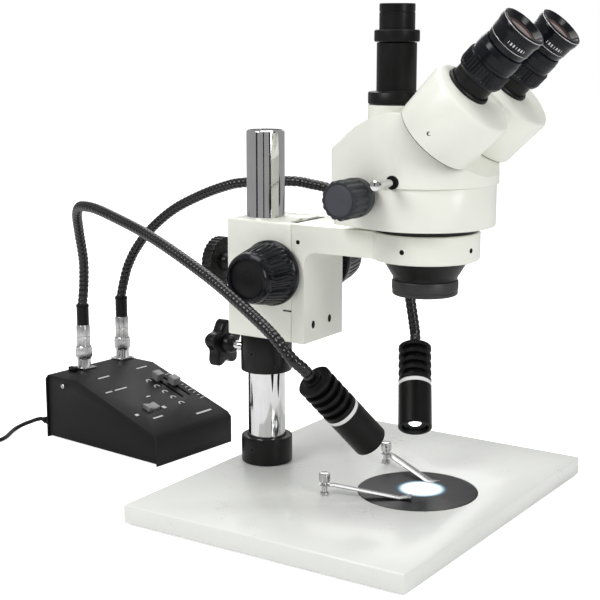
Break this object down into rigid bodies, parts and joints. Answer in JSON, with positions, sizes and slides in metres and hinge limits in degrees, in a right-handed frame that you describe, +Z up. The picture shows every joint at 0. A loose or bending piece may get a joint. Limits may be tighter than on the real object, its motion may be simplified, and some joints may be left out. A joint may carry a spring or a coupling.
{
  "type": "stereo microscope",
  "caption": "Trinocular zoom stereo microscope on a pillar stand, with rack focus, tilted eyepieces, a camera port and a separate lamp box with bendable lamp arms.",
  "frame": {"origin": "centre of the base plate's underside", "axes": "+Z up, -Y towards the user, +X to the user's right"},
  "size_m": [0.315, 0.5661, 0.4045],
  "materials": {
    "white_paint": "gloss powder coat",
    "chrome": "polished",
    "black_paint": "satin",
    "black_anodised": "black anodised",
    "black_plastic": "gloss",
    "dark_grey_plastic": "satin",
    "grey_plastic": "matte",
    "rubber": "matte",
    "steel": "ground",
    "nickel": "nickel plated",
    "brass": "machined"
  },
  "bodies": {
    "base": {"base_plate": "white_paint", "foot_front_left": "rubber", "foot_front_right": "rubber", "foot_rear_left": "rubber", "foot_rear_right": "rubber", "stage_plate": "black_paint", "clip_post_left": "nickel", "clip_post_right": "nickel", "base_collar": "black_paint", "pillar": "chrome", "lamp_box_cover": "black_paint", "lamp_box_tray": "black_paint", "lamp_socket_1": "chrome", "lamp_socket_2": "chrome", "cord_relief": "rubber", "power_cord": "black_plastic", "cord_coil": "black_plastic", "cord_plug": "black_plastic"},
    "safety_stop": {"safety_collar": "black_paint"},
    "stop_clamp": {"collar_star_knob": "black_plastic"},
    "focus_block": {"focus_housing": "white_paint"},
    "block_clamp": {"housing_clamp_knob": "black_plastic"},
    "focus_drive": {"pinion_shaft": "steel", "focus_knob_left": "black_plastic", "focus_knob_right": "black_plastic"},
    "arm": {"arm_bracket": "white_paint", "focus_rack": "brass"},
    "ring_lock": {"ring_lock_knob": "black_plastic"},
    "head": {"lower_body": "white_paint", "upper_body": "white_paint", "objective_cone": "black_anodised", "barlow_ring": "black_anodised", "objective_cell": "brass", "photo_tube": "black_anodised"},
    "zoom_drive": {"zoom_shaft": "steel", "zoom_knob_left": "dark_grey_plastic", "zoom_knob_right": "dark_grey_plastic"},
    "zoom_carrier": {"zoom_lens_carrier": "brass"},
    "port_selector": {"port_selector_rod": "chrome"},
    "photo_ring": {"photo_lock_ring": "black_anodised"},
    "photo_adapter": {"photo_adapter_tube": "black_anodised"},
    "drum_left": {"prism_drum_left": "white_paint", "eyepiece_tube_left": "black_anodised"},
    "drum_right": {"prism_drum_right": "white_paint", "eyepiece_tube_right": "black_anodised"},
    "diopter_left": {"diopter_ring_left": "black_plastic"},
    "diopter_right": {"diopter_ring_right": "black_plastic"},
    "eyepiece_left": {"eyepiece_left": "black_plastic"},
    "eyepiece_right": {"eyepiece_right": "black_plastic"},
    "clip_left": {"stage_clip_left": "steel"},
    "clip_right": {"stage_clip_right": "steel"},
    "lamp_arm_1": {"lamp_plug_1": "chrome", "gooseneck_1": "black_plastic", "lamp_head_1": "black_anodised"},
    "lamp_arm_2": {"lamp_plug_2": "chrome", "gooseneck_2": "black_plastic", "lamp_head_2": "black_anodised"},
    "slider_1": {"brightness_slider_1": "grey_plastic"},
    "slider_2": {"brightness_slider_2": "grey_plastic"},
    "switch": {"power_switch": "black_plastic"}
  },
  "joints": [
    {"name": "safety_stop_height", "type": "slide", "parent": "base", "child": "safety_stop", "axis": [0, 0, 1], "range_m": [-0.055, 0.07]},
    {"name": "stop_clamp_turn", "type": "hinge", "parent": "safety_stop", "child": "stop_clamp", "pos_m": [0, 0.1143, 0.1137], "axis": [0, 1, 0], "range_deg": [0, 360]},
    {"name": "block_swivel", "type": "hinge", "parent": "safety_stop", "child": "focus_block", "pos_m": [0, 0.098, 0.18], "axis": [0, 0, 1], "range_deg": [-6, 6]},
    {"name": "block_clamp_turn", "type": "hinge", "parent": "focus_block", "child": "block_clamp", "pos_m": [0, 0.1143, 0.187], "axis": [0, 1, 0], "range_deg": [0, 360]},
    {"name": "focus", "type": "slide", "parent": "focus_block", "child": "arm", "axis": [0, 0, 1], "range_m": [-0.025, 0.025]},
    {"name": "focus_knob_turn", "type": "hinge", "parent": "focus_block", "child": "focus_drive", "pos_m": [0, 0.069, 0.189], "axis": [1, 0, 0], "range_deg": [-290, 290]},
    {"name": "ring_lock_turn", "type": "hinge", "parent": "arm", "child": "ring_lock", "pos_m": [0.045, -0.0545, 0.219], "axis": [1, 0, 0], "range_deg": [0, 360]},
    {"name": "head_turn", "type": "hinge", "parent": "arm", "child": "head", "pos_m": [0, -0.0545, 0.22], "axis": [0, 0, 1], "continuous": true},
    {"name": "zoom_turn", "type": "hinge", "parent": "head", "child": "zoom_drive", "pos_m": [0, -0.029, 0.26], "axis": [1, 0, 0], "range_deg": [-136, 136]},
    {"name": "zoom_carrier_slide", "type": "slide", "parent": "head", "child": "zoom_carrier", "axis": [0, 0, 1], "range_m": [-0.006, 0.006]},
    {"name": "port_selector_push", "type": "slide", "parent": "head", "child": "port_selector", "axis": [1, 0, 0], "range_m": [0, 0.01]},
    {"name": "photo_ring_turn", "type": "hinge", "parent": "head", "child": "photo_ring", "pos_m": [0, -0.0262, 0.378], "axis": [0, 0, 1], "range_deg": [0, 90]},
    {"name": "photo_adapter_height", "type": "slide", "parent": "head", "child": "photo_adapter", "axis": [0, 0, 1], "range_m": [0, 0.012]},
    {"name": "eye_spacing_left", "type": "hinge", "parent": "head", "child": "drum_left", "pos_m": [-0.0347, -0.07939, 0.30489], "axis": [0, -0.7071, 0.7071], "range_deg": [-41.2, 28.7]},
    {"name": "eye_spacing_right", "type": "hinge", "parent": "head", "child": "drum_right", "pos_m": [0.0347, -0.07939, 0.30489], "axis": [0, -0.7071, 0.7071], "range_deg": [-28.7, 41.2]},
    {"name": "diopter_left_turn", "type": "hinge", "parent": "drum_left", "child": "diopter_left", "pos_m": [-0.0331, -0.10409, 0.34241], "axis": [0, -0.7071, 0.7071], "range_deg": [0, 271]},
    {"name": "eyepiece_left_lift", "type": "slide", "parent": "drum_left", "child": "eyepiece_left", "axis": [0, -0.7071, 0.7071], "range_m": [0, 0.004]},
    {"name": "diopter_right_turn", "type": "hinge", "parent": "drum_right", "child": "diopter_right", "pos_m": [0.0331, -0.10409, 0.34241], "axis": [0, -0.7071, 0.7071], "range_deg": [0, 271]},
    {"name": "eyepiece_right_lift", "type": "slide", "parent": "drum_right", "child": "eyepiece_right", "axis": [0, -0.7071, 0.7071], "range_m": [0, 0.004]},
    {"name": "clip_left_turn", "type": "hinge", "parent": "base", "child": "clip_left", "pos_m": [-0.0495, 0.007, 0.025], "axis": [0, 0, 1], "range_deg": [-30, 30]},
    {"name": "clip_right_turn", "type": "hinge", "parent": "base", "child": "clip_right", "pos_m": [0.0495, 0.007, 0.025], "axis": [0, 0, 1], "range_deg": [-30, 30]},
    {"name": "lamp_arm_1_turn", "type": "hinge", "parent": "base", "child": "lamp_arm_1", "pos_m": [0.02216, 0.33023, 0.08], "axis": [0, 0, 1], "range_deg": [-10, 0]},
    {"name": "lamp_arm_2_turn", "type": "hinge", "parent": "base", "child": "lamp_arm_2", "pos_m": [0.07293, 0.32534, 0.08], "axis": [0, 0, 1], "range_deg": [0, 10]},
    {"name": "slider_1_move", "type": "slide", "parent": "base", "child": "slider_1", "axis": [0.0911, 0.9459, 0.3116], "range_m": [-0.03, 0.004]},
    {"name": "slider_2_move", "type": "slide", "parent": "base", "child": "slider_2", "axis": [0.0911, 0.9459, 0.3116], "range_m": [-0.02, 0.016]},
    {"name": "switch_rock", "type": "hinge", "parent": "base", "child": "switch", "pos_m": [0.00688, 0.23415, 0.03972], "axis": [0.0911, 0.9459, 0.3116], "range_deg": [-8, 8]}
  ],
  "couplings": [
    {"joint": "focus_knob_turn", "follows": "focus", "rad_per_m": -200},
    {"joint": "zoom_turn", "follows": "zoom_carrier_slide", "rad_per_m": 392.7},
    {"joint": "eye_spacing_right", "follows": "eye_spacing_left", "ratio": -1},
    {"joint": "diopter_left_turn", "follows": "eyepiece_left_lift", "rad_per_m": 1178.1},
    {"joint": "diopter_right_turn", "follows": "eyepiece_right_lift", "rad_per_m": 1178.1}
  ]
}
